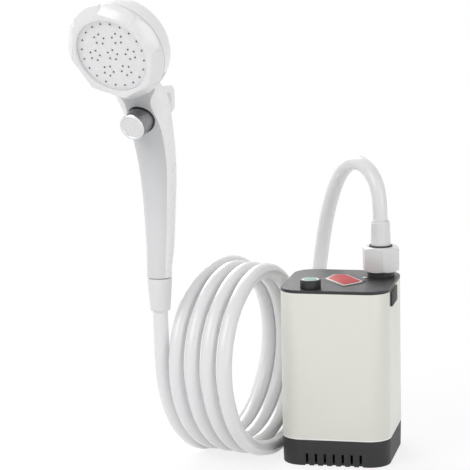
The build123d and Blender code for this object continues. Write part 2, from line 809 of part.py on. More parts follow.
def barb_profile(flange_radius, flange_height, sense):
    # Half section of a barbed insert: a flange, then a bored stem with three saw teeth.
    tooth = (barb_reach - 3) / 3
    root = hose_bore - 0.5
    points = [(insert_bore, 0), (flange_radius, 0), (flange_radius, sense * flange_height)]
    points.append((root, sense * flange_height))
    points.append((root, sense * (flange_height + 3)))
    for step in range(3):
        start = flange_height + 3 + step * tooth
        points.append((hose_bore, sense * start))
        points.append((root, sense * (start + tooth)))
    points.append((insert_bore, sense * (flange_height + barb_reach)))
    return points


with BuildPart() as hose_insert:
    section = Plane(origin=(outlet_x, outlet_y, flange_bottom), x_dir=(1, 0, 0), z_dir=(0, -1, 0))
    with BuildSketch(section):
        with BuildLine():
            Polyline(*barb_profile(insert_flange, flange_thickness, 1), close=True)
        make_face()
    revolve(axis=outlet_axis)
hose_insert.part.label = "hose_insert"
export_step(hose_insert.part, "parts/hose_insert.step")

with BuildPart() as hose_ferrule:
    with BuildSketch(outlet_section):
        with BuildLine():
            Polyline(
                (hose_radius + press, hose_start),
                (ferrule_radius, hose_start),
                (ferrule_radius - ferrule_taper, ferrule_top - 1.4),
                (ferrule_radius - ferrule_taper - 0.5, ferrule_top - 1.0),
                (ferrule_radius - ferrule_taper - 0.5, ferrule_top),
                (hose_radius + press, ferrule_top),
                close=True,
            )
        make_face()
    revolve(axis=outlet_axis)
hose_ferrule.part.label = "hose_ferrule"
export_step(hose_ferrule.part, "parts/hose_ferrule.step")


# Hose, in three stretches: up over the lid and down to the coil, the coil, and the lead to the handle
def corner_radii(points):
    # Each arc takes 0.45 of the shorter run beside it.
    radii = []
    for before, here, after in zip(points, points[1:], points[2:]):
        first = Vector(*here) - Vector(*before)
        second = Vector(*after) - Vector(*here)
        turn = first.get_angle(second)
        radii.append(0.45 * min(first.length, second.length) / tan(radians(turn / 2)))
    return radii


coil_floor = hose_radius + 0.15
coil_axis_height = coil_radius + coil_floor
coil_along = Vector(cos(radians(coil_heading)), sin(radians(coil_heading)), 0)
coil_across = Vector(-sin(radians(coil_heading)), cos(radians(coil_heading)), 0)

riser_points = [
    (outlet_x, outlet_y, hose_start),
    (outlet_x, outlet_y, 170.5),
    (22.9, 23.1, 186),
    (17, 29.8, 195.6),
    (8.5, 39.5, 200.6),
    (0.2, 48.9, 199.5),
    (-7.8, 57.9, 192.6),
    (-14.7, 65.7, 180),
    (-20.3, 72.1, 164.5),
    (-25, 77.3, 146),
    (-29, 82, 124),
    (-32.5, 86, 101),
    (-35.5, 88.5, 78),
    (-38.5, 88, 55),
    (-41.3, 82.5, 33),
    (-43.5, 71, 16),
    (-44.4, 56, 8),
    (-44.4, 39, 5.8),
    (-44.3, 21, 5.4),
    (-44.8, 5, 5.4),
]
riser_radii = corner_radii(riser_points)
with BuildPart() as hose_riser:
    with BuildLine() as riser_path:
        FilletPolyline(*riser_points, radius=riser_radii)
    with BuildSketch(Plane(origin=riser_points[0], z_dir=(0, 0, 1))):
        Circle(hose_radius)
    sweep(path=riser_path.wires()[0])
    with BuildSketch(Plane.XY.offset(hose_start)):
        with Locations((outlet_x, outlet_y)):
            Circle(hose_bore)
    extrude(amount=barb_reach, mode=Mode.SUBTRACT)
hose_riser.part.label = "hose_riser"
export_step(hose_riser.part, "parts/hose_riser.step")

with BuildPart() as hose_coil:
    coil_plane = Plane(origin=(coil_x, coil_y, coil_axis_height), x_dir=coil_across, z_dir=coil_along)
    with BuildSketch(coil_plane.offset(coil_start)):
        Circle(coil_radius + hose_radius)
        Circle(coil_radius - hose_radius, mode=Mode.SUBTRACT)
    extrude(amount=coil_turns * coil_pitch + hose_radius - coil_start)
    fillet(hose_coil.edges().filter_by(GeomType.CIRCLE), hose_radius * 0.6)
    split(bisect_by=Plane.YZ.offset(-case_width / 2 - wall_gap), keep=Keep.BOTTOM)
hose_coil.part.label = "hose_coil"
export_step(hose_coil.part, "parts/hose_coil.step")

lead_points = [
    (-93.6, -0.7, 5.4),
    (-97.8, -14, 6.6),
    (-103, -27, 13),
    (-108.4, -39, 24.5),
    (-112.4, -48, 41),
    (-114.7, -54, 60),
    (handset_x, handset_y, 82),
    (handset_x, handset_y, handset_z + hose_end),
]
lead_radii = corner_radii(lead_points)
with BuildPart() as hose_lead:
    with BuildLine() as lead_path:
        FilletPolyline(*lead_points, radius=lead_radii)
    with BuildSketch(Plane(origin=lead_points[-1], z_dir=(0, 0, 1))):
        Circle(hose_radius)
    sweep(path=lead_path.wires()[0])
    with BuildSketch(Plane(origin=lead_points[-1], z_dir=(0, 0, 1))):
        Circle(hose_bore)
    extrude(amount=-barb_reach, mode=Mode.SUBTRACT)
hose_lead.part.label = "hose_lead"
export_step(hose_lead.part, "parts/hose_lead.step")

hose_section = pi * hose_radius**2
for name, piece, path, radii in (
    ("riser", hose_riser, riser_path, riser_radii),
    ("lead", hose_lead, lead_path, lead_radii),
):
    length = path.wires()[0].length
    print(name, "length", round(length), "radii", [round(r) for r in radii])
    print(name, "volume", round(piece.part.volume), "section x length", round(hose_section * length))
print("coil hose", round(coil_turns * hypot(2 * pi * coil_radius, coil_pitch)))

# Cone nut under the handle, with the washer and the barbed insert inside it
handle_axis = Axis.Z
handle_section = Plane(origin=(0, 0, 0), x_dir=(1, 0, 0), z_dir=(0, -1, 0))
cone_start = -cone_gap
cone_end = cone_start - cone_length
with BuildPart() as cone_nut:
    with BuildSketch(handle_section):
        with BuildLine():
            Polyline(
                (spigot_radius + running, cone_start),
                (cone_top - cone_chamfer, cone_start),
                (cone_top, cone_start - cone_chamfer),
                (cone_bottom + cone_chamfer / 4, cone_end + cone_chamfer),
                (cone_bottom - cone_chamfer / 2, cone_end),
                (hose_radius + 2 * nest, cone_end),
                (hose_radius + 2 * nest, hose_end - face_gap),
                (spigot_radius + running, hose_end - face_gap),
                close=True,
            )
        make_face()
    revolve(axis=handle_axis)
cone_nut.part.locate(handset_place)
cone_nut.part.label = "cone_nut"
export_step(cone_nut.part, "parts/cone_nut.step")

with BuildPart() as cone_washer:
    with BuildSketch(Plane.XY.offset(cone_insert_top)):
        Circle(spigot_radius)
        Circle(insert_bore, mode=Mode.SUBTRACT)
    extrude(amount=washer_thickness)
cone_washer.part.locate(handset_place)
cone_washer.part.label = "cone_washer"
export_step(cone_washer.part, "parts/cone_washer.step")

with BuildPart() as cone_insert:
    with BuildSketch(Plane(origin=(0, 0, cone_insert_top), x_dir=(1, 0, 0), z_dir=(0, -1, 0))):
        with BuildLine():
            Polyline(*barb_profile(spigot_radius, flange_thickness, -1), close=True)
        make_face()
    revolve(axis=handle_axis)
cone_insert.part.locate(handset_place)
cone_insert.part.label = "cone_insert"
export_step(cone_insert.part, "parts/cone_insert.step")

# Handle spigot: the threaded inlet that the two shells trap by its neck
with BuildPart() as handle_spigot:
    with BuildSketch(handle_section):
        with BuildLine():
            Polyline(
                (flow_bore, -cone_gap - spigot_length),
                (spigot_radius, -cone_gap - spigot_length),
                (spigot_radius, -nest),
                (spigot_neck, -nest),
                (spigot_neck, shell_wall + nest),
                (handle_end_radius - shell_wall - 2 * nest, shell_wall + nest),
                (handle_end_radius - shell_wall - 2 * nest, 2 * shell_wall),
                (flow_tube, 2 * shell_wall),
                (flow_tube, 3 * shell_wall),
                (flow_bore, 3 * shell_wall),
                close=True,
            )
        make_face()
    revolve(axis=handle_axis)
handle_spigot.part.locate(handset_place)
handle_spigot.part.label = "handle_spigot"
export_step(handle_spigot.part, "parts/handle_spigot.step")

# Handle stations: height, how far forward the middle lies, half depth and half width
handle_stations = [
    (0, 0, 8.7, 8.7),
    (15.7, 1.8, 9.1, 9.3),
    (35.4, 2.9, 10.2, 10.4),
    (57.0, 3.0, 11.3, 11.6),
    (74.7, 1.8, 12.2, 12.8),
    (90.5, -1.6, 12.4, 14.1),
    (105.4, -7.0, 11.8, 16.0),
    (117.4, -12.9, 10.7, 18.0),
    (129.4, -21.2, 10.8, 19.0),
    (144.45, -33.0, 11.0, 17.0),
]
neck_rise = (face_up - neck_sink) / handle_stations[-1][0]
neck_lean = (face_forward - neck_back) / -handle_stations[-1][1]


def on_neck(height, forward):
    # A point drawn on the handle's side view, moved with the head.
    return (neck_lean * forward, neck_rise * height)


def neck_middle(height):
    # The middle of the handle at a height, as a point in space.
    for low, high in zip(handle_stations, handle_stations[1:]):
        if low[0] <= height <= high[0]:
            part = (height - low[0]) / (high[0] - low[0])
            return (0, neck_lean * (low[1] + part * (high[1] - low[1])), neck_rise * height)


plate_radius = ring_radius - plate_inset
spray_ring = plate_radius - spray_inset
cluster_ring = spray_ring * 0.594
cluster_radius = spray_ring * 0.16
feed_drop = plate_radius * 0.4255
lip_inner = ring_radius - lip_inset
facet_inner = ring_radius - facet_inset
notch_start = facet_inner / cos(pi / notch_count)
bezel_radius = stop_radius + running + bezel_width
hook_outer = hook_clearance + hook_thickness
face_normal = Vector(0, -cos(face_slope), -sin(face_slope))
face_centre = Vector(0, -face_forward, face_up)
face_plane = Plane(origin=face_centre, x_dir=(1, 0, 0), z_dir=face_normal)
head_section = Plane(origin=face_centre, x_dir=(1, 0, 0), z_dir=(0, sin(face_slope), -cos(face_slope)))
head_axis = Axis(face_centre, face_normal)
stop_direction = Vector(0, -cos(stop_slope), -sin(stop_slope))
stop_seat = Vector(0, *on_neck(stop_up, -stop_forward))
stop_plane = Plane(origin=stop_seat, x_dir=(1, 0, 0), z_dir=stop_direction)
stop_section = Plane(origin=stop_seat, x_dir=(1, 0, 0), z_dir=(0, sin(stop_slope), -cos(stop_slope)))
stop_axis = Axis(stop_seat, stop_direction)
valve_front = -stop_skirt - stop_travel - 2 * face_gap
valve_back = valve_front - valve_length
dome_rim = -ring_back - 2 * nest
thread_inner = ring_radius - 3.6
shelf_front = -plate_thickness - gasket_thickness - chamber_depth

# Closed shell of handle, neck and domed head, before it is parted
hook_top = neck_rise * hook_rise
hook_root_top = on_neck(hook_rise + 2.5, -16)
hook_root_bottom = (neck_lean * -13, hook_top - hook_thickness + 0.4)
with BuildPart() as body_shell:
    for height, forward, half_depth, half_width in handle_stations:
        with BuildSketch(Plane.XY.offset(height * neck_rise)):
            with Locations((0, forward * neck_lean)):
                Ellipse(half_width, half_depth)
    loft()
    with BuildSketch(head_section):
        with BuildLine():
            Line((0, dome_rim), (ring_radius, dome_rim))
            Line((ring_radius, dome_rim), (ring_radius, dome_rim - 2))
            Spline(
                (ring_radius, dome_rim - 2),
                (ring_radius * 0.925, -dome_depth * 0.64),
                (ring_radius * 0.56, -dome_depth * 0.93),
                (0, -dome_depth),
                tangents=((0, -1), (-1, 0)),
            )
            Line((0, -dome_depth), (0, dome_rim))
        make_face()
    revolve(axis=head_axis)
    with BuildSketch(Plane.YZ):
        with BuildLine():
            FilletPolyline(
                hook_root_top,
                (hook_outer, hook_top),
                (hook_outer, hook_top - hook_reach + hook_slant),
                (hook_clearance, hook_top - hook_reach),
                (hook_clearance, hook_top - hook_thickness),
                hook_root_bottom,
                radius=[hook_round, 0.6, 0.6, hook_round - hook_thickness + 1],
            )
            Line(hook_root_bottom, hook_root_top)
        make_face()
    extrude(amount=hook_width / 2, both=True)
    with BuildSketch(face_plane.offset(dome_rim)):
        Circle(ring_radius + 8)
    extrude(amount=dome_depth, mode=Mode.SUBTRACT)

# Room inside the shell: the handle's bore, the head's bore and the holes for spigot and button
with BuildPart() as body_room:
    for height, forward, half_depth, half_width in handle_stations:
        with BuildSketch(Plane.XY.offset(height * neck_rise + shell_wall)):
            with Locations((0, forward * neck_lean)):
                Ellipse(half_width - shell_wall, half_depth - shell_wall)
    loft()
    with BuildSketch(head_section):
        with BuildLine():
            Line((0, dome_rim), (thread_inner, dome_rim))
            Line((thread_inner, dome_rim), (thread_inner, shelf_front))
            Line((thread_inner, shelf_front), (plate_radius - chamber_wall, shelf_front))
            Line((plate_radius - chamber_wall, shelf_front), (plate_radius - chamber_wall, shelf_front - shelf_thickness))
            Line(
                (plate_radius - chamber_wall, shelf_front - shelf_thickness),
                (ring_radius - shell_wall - 1, shelf_front - shelf_thickness),
            )
            Spline(
                (ring_radius - shell_wall - 1, shelf_front - shelf_thickness),
                (ring_radius * 0.925 - shell_wall, -dome_depth * 0.64 + shell_wall / 2),
                (ring_radius * 0.54 - shell_wall / 2, -dome_depth * 0.93 + shell_wall),
                (0, -dome_depth + shell_wall),
            )
            Line((0, -dome_depth + shell_wall), (0, dome_rim))
        make_face()
    revolve(axis=head_axis)
    with BuildSketch(Plane.XY.offset(-1)):
        Circle(spigot_neck + nest)
    extrude(amount=3 * shell_wall)
    with BuildSketch(stop_plane.offset(valve_front)):
        Circle(bezel_radius + press)
    extrude(amount=stop_proud - valve_front)

# Zone that the front cover takes: everything ahead of the parting line along the sides
parting_line = [
    (-4.8, -2),
    (-3.7, 18.5),
    (-3.1, 38.5),
    (-3.7, 58.5),
    (-4.7, 72.5),
    (-8.3, 88.5),
    (-14.6, 104.5),
    (-21.4, 116.5),
    (-27.5, 128.5),
    (-33.0, 144),
]
parting_points = [on_neck(height, forward) for forward, height in parting_line]
front_top = (-face_forward - ring_radius, parting_points[-1][1])
front_bottom = (-face_forward - ring_radius, parting_points[0][1])
with BuildPart() as front_zone:
    with BuildSketch(Plane.YZ):
        with BuildLine():
            Spline(*parting_points)
            Polyline(parting_points[-1], front_top, front_bottom, parting_points[0])
        make_face()
    extrude(amount=2 * ring_radius, both=True)

with BuildPart() as front_cover:
    add(body_shell.part)
    add(body_room.part, mode=Mode.SUBTRACT)
    add(front_zone.part, mode=Mode.INTERSECT)
front_cover.part.locate(handset_place)
front_cover.part.label = "handset_front_cover"
export_step(front_cover.part, "parts/handset_front_cover.step")

with BuildPart() as rear_shell:
    add(body_shell.part)
    add(body_room.part, mode=Mode.SUBTRACT)
    add(front_zone.part, mode=Mode.SUBTRACT)
rear_shell.part.locate(handset_place)
rear_shell.part.label = "handset_rear_shell"
export_step(rear_shell.part, "parts/handset_rear_shell.step")

# Face ring: a bevelled, notched ring that screws into the head and holds the spray plate
with BuildPart() as face_ring:
    with BuildSketch(head_section):
        with BuildLine():
            Polyline(
                (lip_inner, 0),
                (lip_inner, lip_rise),
                (ring_radius, lip_rise),
                (ring_radius, -ring_back),
                (thread_inner - running, -ring_back),
                (thread_inner - running, shelf_front + face_gap),
                (thread_inner - ring_skirt, shelf_front + face_gap),
                (thread_inner - ring_skirt, 0),
                close=True,
            )
        make_face()
    revolve(axis=head_axis)
    facet_slope = (lip_rise + facet_drop) / facet_inset
    for step in range(notch_count):
        around = radians(notch_turn + (step + 0.5) * 360 / notch_count)
        out = face_plane.x_dir * cos(around) + face_plane.y_dir * sin(around)
        with BuildSketch(Plane(origin=face_centre, x_dir=out, z_dir=out.cross(face_normal))):
            Polygon(
                (facet_inner - 1 / facet_slope, lip_rise + 1),
                (ring_radius, -facet_drop),
                (ring_radius + 1, -facet_drop),
                (ring_radius + 1, lip_rise + 1),
                align=None,
            )
        extrude(amount=ring_radius, both=True, mode=Mode.SUBTRACT)
    for step in range(notch_count):
        around = radians(notch_turn + step * 360 / notch_count)
        out = face_plane.x_dir * cos(around) + face_plane.y_dir * sin(around)
        start = face_centre + out * notch_start + face_normal * lip_rise
        along = out * (ring_radius - notch_start) - face_normal * (lip_rise + ring_back)
        with BuildSketch(Plane(origin=start, x_dir=out.cross(face_normal), z_dir=along)):
            mouth = along.length * tan(radians(notch_spread))
            Polygon((0, 0), (mouth, -along.length), (-mouth, -along.length), align=None)
        extrude(amount=2 * along.length, mode=Mode.SUBTRACT)
face_ring.part.locate(handset_place)
face_ring.part.label = "face_ring"
export_step(face_ring.part, "parts/face_ring.step")

# Spray plate with an outer ring of nozzles and seven clusters of five
with BuildPart() as spray_plate:
    with BuildSketch(face_plane.offset(-plate_thickness)):
        Circle(plate_radius)
    extrude(amount=plate_thickness - face_gap)
    with BuildSketch(face_plane.offset(-plate_thickness)):
        with PolarLocations(spray_ring, spray_ring_holes, start_angle=180 / spray_ring_holes):
            Circle(nozzle_radius)
        with PolarLocations(cluster_radius, cluster_holes, start_angle=9):
            Circle(nozzle_radius)
        with PolarLocations(cluster_ring, cluster_count, start_angle=3):
            with PolarLocations(cluster_radius, cluster_holes, start_angle=33):
                Circle(nozzle_radius)
    extrude(amount=plate_thickness, mode=Mode.SUBTRACT)
spray_plate.part.locate(handset_place)
spray_plate.part.label = "spray_plate"
export_step(spray_plate.part, "parts/spray_plate.step")

with BuildPart() as face_gasket:
    with BuildSketch(face_plane.offset(-plate_thickness - gasket_thickness)):
        Circle(plate_radius)
        Circle(plate_radius - chamber_wall, mode=Mode.SUBTRACT)
    extrude(amount=gasket_thickness)
face_gasket.part.locate(handset_place)
face_gasket.part.label = "face_gasket"
export_step(face_gasket.part, "parts/face_gasket.step")

# Spray chamber: the shallow cup behind the plate, fed off centre
with BuildPart() as spray_chamber:
    with BuildSketch(face_plane.offset(shelf_front)):
        Circle(plate_radius)
    extrude(amount=chamber_depth)
    with BuildSketch(face_plane.offset(shelf_front + chamber_wall)):
        Circle(plate_radius - chamber_wall)
    extrude(amount=chamber_depth, mode=Mode.SUBTRACT)
    with BuildSketch(face_plane.offset(shelf_front)):
        with Locations((0, -feed_drop)):
            Circle(flow_bore)
    extrude(amount=chamber_wall, mode=Mode.SUBTRACT)
spray_chamber.part.locate(handset_place)
spray_chamber.part.label = "spray_chamber"
export_step(spray_chamber.part, "parts/spray_chamber.step")

# Stop valve behind its button: body, rod, piston seal, spring, bright cap and dark bezel
with BuildPart() as valve_body:
    with BuildSketch(stop_plane.offset(valve_back)):
        Circle(valve_radius)
    extrude(amount=valve_length)
    with BuildSketch(stop_plane.offset(valve_back + valve_wall)):
        Circle(valve_bore)
    extrude(amount=valve_length - 2 * valve_wall, mode=Mode.SUBTRACT)
    with BuildSketch(stop_plane.offset(valve_front - valve_wall)):
        Circle(rod_radius + running)
    extrude(amount=valve_wall, mode=Mode.SUBTRACT)
valve_body.part.locate(handset_place)
valve_body.part.label = "valve_body"
export_step(valve_body.part, "parts/valve_body.step")

cap_inside = stop_proud - stop_wall
with BuildPart() as stop_button:
    with BuildSketch(stop_section):
        with BuildLine():
            Polyline(
                (0, cap_inside),
                (stop_radius - stop_wall, cap_inside),
                (stop_radius - stop_wall, -stop_skirt),
                (stop_radius, -stop_skirt),
                (stop_radius, stop_proud - 1.6),
                (stop_radius - 0.5, stop_proud - 1.1),
                (stop_radius - 0.1, stop_proud - 0.6),
                (stop_radius - 0.7, stop_proud),
                (stop_radius - 1.6, stop_proud),
                (stop_radius - 1.9, stop_proud - 0.35),
                (0, stop_proud - 0.1),
                close=True,
            )
        make_face()
    revolve(axis=stop_axis)
stop_button.part.locate(handset_place)
stop_button.part.label = "stop_button"
export_step(stop_button.part, "parts/stop_button.step")

piston_back = valve_back + valve_wall + stop_travel + face_gap
with BuildPart() as valve_rod:
    with BuildSketch(stop_plane.offset(piston_back)):
        Circle(rod_radius)
    extrude(amount=cap_inside - piston_back)
    with BuildSketch(stop_plane.offset(piston_back)):
        Circle(valve_bore - 2 * running)
    extrude(amount=piston_thickness)
valve_rod.part.locate(handset_place)
valve_rod.part.label = "valve_rod"
export_step(valve_rod.part, "parts/valve_rod.step")

with BuildPart() as valve_seal:
    with BuildSketch(stop_plane.offset(piston_back + piston_thickness)):
        Circle(valve_bore - running)
        Circle(rod_radius, mode=Mode.SUBTRACT)
    extrude(amount=piston_seal)
valve_seal.part.locate(handset_place)
valve_seal.part.label = "valve_seal"
export_step(valve_seal.part, "parts/valve_seal.step")

spring_length = cap_inside - valve_front - 2 * spring_wire - 2 * face_gap
spring_start = Vector(0, 0, valve_front + spring_wire + face_gap)
with BuildPart() as valve_spring:
    with BuildLine() as spring_path:
        Helix(pitch=spring_length / spring_turns, height=spring_length, radius=spring_radius)
    with BuildSketch(Plane(origin=(spring_radius, 0, 0), z_dir=spring_path.edges()[0] % 0)):
        RegularPolygon(spring_wire, 6)
    sweep(path=spring_path.wires()[0], is_frenet=True)
valve_spring.part.locate(handset_place * stop_plane.location * Location(spring_start))
valve_spring.part.label = "valve_spring"
export_step(valve_spring.part, "parts/valve_spring.step")

with BuildPart() as stop_bezel:
    with BuildSketch(stop_plane.offset(-bezel_depth)):
        Circle(bezel_radius)
        Circle(stop_radius + running, mode=Mode.SUBTRACT)
    extrude(amount=2 * bezel_depth)
    add(body_shell.part, mode=Mode.INTERSECT)
stop_bezel.part.locate(handset_place)
stop_bezel.part.label = "stop_bezel"
export_step(stop_bezel.part, "parts/stop_bezel.step")

# Flow tubes inside the handle: spigot to valve, and valve to spray chamber
feed_end = face_centre + face_normal * shelf_front - face_plane.y_dir * feed_drop
feed_back = feed_end - face_normal * feed_reach
valve_middle = stop_seat + stop_direction * (valve_front - valve_length / 2)
lower_points = [
    (0, 0, 3 * shell_wall),
    (0, 0, 6 * shell_wall),
    neck_middle(34),
    neck_middle(60),
    neck_middle(84),
    tuple(valve_middle),
]
valve_above = valve_middle + stop_plane.y_dir * flow_rise
upper_points = [tuple(valve_middle), tuple(valve_above), tuple(feed_back), tuple(feed_end)]
for name, points in (("flow_tube_lower", lower_points), ("flow_tube_upper", upper_points)):
    with BuildPart() as tube:
        with BuildLine() as tube_path:
            FilletPolyline(*points, radius=corner_radii(points))
        with BuildSketch(Plane(origin=points[0], z_dir=Vector(*points[1]) - Vector(*points[0]))):
            Circle(flow_tube)
            Circle(flow_bore, mode=Mode.SUBTRACT)
        sweep(path=tube_path.wires()[0])
        with BuildSketch(stop_plane.offset(valve_back)):
            Circle(valve_radius)
        extrude(amount=valve_length, mode=Mode.SUBTRACT)
    tube.part.locate(handset_place)
    tube.part.label = name
    export_step(tube.part, f"parts/{name}.step")
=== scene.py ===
import json
import math

import bpy
from mathutils import Matrix, Vector


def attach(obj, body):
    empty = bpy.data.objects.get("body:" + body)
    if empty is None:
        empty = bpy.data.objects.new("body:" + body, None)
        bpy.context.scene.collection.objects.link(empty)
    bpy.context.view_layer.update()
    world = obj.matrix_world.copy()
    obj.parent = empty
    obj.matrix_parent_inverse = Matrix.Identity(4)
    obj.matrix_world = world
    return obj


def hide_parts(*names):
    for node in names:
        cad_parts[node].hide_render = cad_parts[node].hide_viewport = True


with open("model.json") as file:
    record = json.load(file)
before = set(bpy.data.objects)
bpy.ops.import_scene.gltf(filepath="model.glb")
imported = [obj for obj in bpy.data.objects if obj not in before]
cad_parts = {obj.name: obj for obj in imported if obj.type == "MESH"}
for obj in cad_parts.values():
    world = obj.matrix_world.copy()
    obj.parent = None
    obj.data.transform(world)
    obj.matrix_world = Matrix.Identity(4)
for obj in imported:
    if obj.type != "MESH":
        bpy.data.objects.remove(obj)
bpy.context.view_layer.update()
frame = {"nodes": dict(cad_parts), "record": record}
nodes = frame["nodes"]
print("frame loaded:", len(nodes), "nodes")

# Camera, at the photograph's angle; lengths in metres, angles in degrees
view = {
    "azimuth": 12.75,
    "elevation": 10.25,
    "roll": -1.21,
    "eye": (0.24444, -1.41139, 0.41581),
    "lens": 160.6,
    "sensor": 36,
}


def addCamera():
    turn, lift, roll = (math.radians(view[k]) for k in ("azimuth", "elevation", "roll"))
    flat = math.cos(lift)
    back = Vector((math.sin(turn) * flat, -math.cos(turn) * flat, math.sin(lift)))
    right = Vector((0, 0, 1)).cross(back).normalized()
    up = back.cross(right)
    across = right * math.cos(roll) + up * math.sin(roll)
    upward = up * math.cos(roll) - right * math.sin(roll)
    data = bpy.data.cameras.new("camera")
    data.lens = view["lens"]
    data.sensor_width = view["sensor"]
    camera = bpy.data.objects.new("camera", data)
    bpy.context.scene.collection.objects.link(camera)
    stand = Matrix((across, upward, back)).transposed().to_4x4()
    camera.matrix_world = Matrix.Translation(view["eye"]) @ stand
    bpy.context.scene.camera = camera


addCamera()
print("camera set")


# Shader maths: a socket that takes part in Python expressions
class Wire:
    def __init__(self, maker, socket):
        self.maker = maker
        self.socket = socket

    def op(self, operation, *values):
        return self.maker.add("ShaderNodeMath", {"operation": operation}, *values)

    def __add__(self, other):
        return self.op("ADD", self, other)

    def __mul__(self, other):
        return self.op("MULTIPLY", self, other)

    def __gt__(self, other):
        return self.op("GREATER_THAN", self, other)

    def __lt__(self, other):
        return self.op("LESS_THAN", self, other)


class Finish:
    # One material: constants go on the shader's own sockets, wires feed what varies.
    def __init__(self, name, **constants):
        self.material = bpy.data.materials.new(name)
        self.material.use_nodes = True
        self.tree = self.material.node_tree
        self.shader = self.tree.nodes["Principled BSDF"]
        for key, value in constants.items():
            socket = self.shader.inputs[key.replace("_", " ")]
            socket.default_value = (*value, 1) if isinstance(value, tuple) else value

    def add(self, kind, settings=None, *values, out=0, **named):
        node = self.tree.nodes.new(kind)
        for key, value in (settings or {}).items():
            setattr(node, key, value)
        sockets = list(enumerate(values))
        sockets += [(key.replace("_", " "), value) for key, value in named.items()]
        for slot, value in sockets:
            if isinstance(value, Wire):
                self.tree.links.new(value.socket, node.inputs[slot])
            elif value is not None:
                node.inputs[slot].default_value = value
        return Wire(self, node.outputs[out])

    def where(self):
        return self.add("ShaderNodeTexCoord", out=3)

    def axis(self, index):
        return self.add("ShaderNodeSeparateXYZ", None, self.where(), out=index)

    def along(self, direction):
        product = {"operation": "DOT_PRODUCT"}
        return self.add("ShaderNodeVectorMath", product, self.where(), direction, out=1)

    def ramp(self, value, low, high):
        return self.add("ShaderNodeMapRange", {"clamp": True}, value, low, high, 0.0, 1.0)

    def noise(self, scale, detail=2.0):
        where = self.where()
        return self.add("ShaderNodeTexNoise", None, Vector=where, Scale=scale, Detail=detail)

    def blend(self, factor, first, second):
        mix = self.add("ShaderNodeMix", {"data_type": "RGBA"}, factor, out=2)
        node = mix.socket.node
        for slot, value in ((6, first), (7, second)):
            if isinstance(value, Wire):
                self.tree.links.new(value.socket, node.inputs[slot])
            else:
                node.inputs[slot].default_value = (*value, 1)
        return mix

    def feed(self, **wires):
        for key, wire in wires.items():
            self.tree.links.new(wire.socket, self.shader.inputs[key.replace("_", " ")])
        return self

    def bump(self, height, strength, distance):
        wire = self.add("ShaderNodeBump", None, Strength=strength, Distance=distance, Height=height)
        return self.feed(Normal=wire)

    def unevenGloss(self, scale, detail, spread, roughness):
        return self.feed(Roughness=self.noise(scale, detail) * spread + (roughness - spread / 2))


def moulded(name, colour, roughness, grain=2600, depth=0.00002, mottle=0.03, coat=0.0, **more):
    # Injection-moulded plastic: fine grain, faint flow mottling and uneven gloss
    finish = Finish(name, Coat_Weight=coat, Coat_Roughness=0.12, **more)
    flow = finish.noise(24, 3)
    darker = tuple(c * (1 - mottle) for c in colour)
    finish.feed(Base_Color=finish.blend(flow, darker, colour))
    finish.unevenGloss(90, 4, 0.1, roughness)
    return finish.bump(finish.noise(grain, 2), 0.25, depth).material


def shellPaintFinish(name, colour, edge, highlightHeight, roughness):
    # Painted tube whose rolled bottom edge gets a painted highlight: the colour goes brighter below
    # a set height
    finish = Finish(name, Coat_Weight=0.25, Coat_Roughness=0.15)
    flow = finish.noise(14, 2)
    paint = finish.blend(flow, tuple(c * 0.985 for c in colour), colour)
    highlightBand = finish.axis(2) < highlightHeight
    # painted highlight: the edge colour is used below the set height
    finish.feed(Base_Color=finish.blend(highlightBand, paint, edge))
    finish.unevenGloss(70, 3, 0.08, roughness)
    return finish.bump(finish.noise(1500, 2), 0.2, 0.00001).material


def gradedFinish(name, low, high, lowColour, highColour, roughness, coat):
    # Handle plastic with painted shade: the colour goes darker towards the neck
    finish = Finish(name, Coat_Weight=coat, Coat_Roughness=0.14)
    share = finish.ramp(finish.axis(2), low, high)
    base = finish.blend(share, lowColour, highColour)
    flow = finish.noise(30, 3)
    finish.feed(Base_Color=finish.blend(flow * 0.12, base, tuple(c * 1.1 for c in highColour)))
    finish.unevenGloss(90, 4, 0.1, roughness)
    return finish.bump(finish.noise(2600, 2), 0.2, 0.00001).material


# Plated button: how its fine speckle is made and how rough its side and face are
plated = {
    "speckleScale": 2600,
    "speckleAbove": 0.57,
    "speckleShare": 0.5,
    "speckleShade": 0.6,
    "sideRoughness": 0.2,
    "faceExtra": 0.22,
}


def capFinish(name, direction, faceAt, litFaceColour, shadedSideColour):
    # Polished side and brushed face; the dark side and the pale face are painted reflection on one
    # chrome finish
    finish = Finish(name, Metallic=1.0)
    isFace = finish.along(direction) > faceAt
    speckle = finish.noise(plated["speckleScale"], 3) > plated["speckleAbove"]
    shade = tuple(c * plated["speckleShade"] for c in litFaceColour)
    face = finish.blend(speckle * plated["speckleShare"], litFaceColour, shade)
    # painted reflection: the side is dark and the face pale
    finish.feed(Base_Color=finish.blend(isFace, shadedSideColour, face))
    finish.feed(Roughness=isFace * plated["faceExtra"] + plated["sideRoughness"])
    return finish.bump(finish.noise(2200, 2), 0.15, 0.00002).material


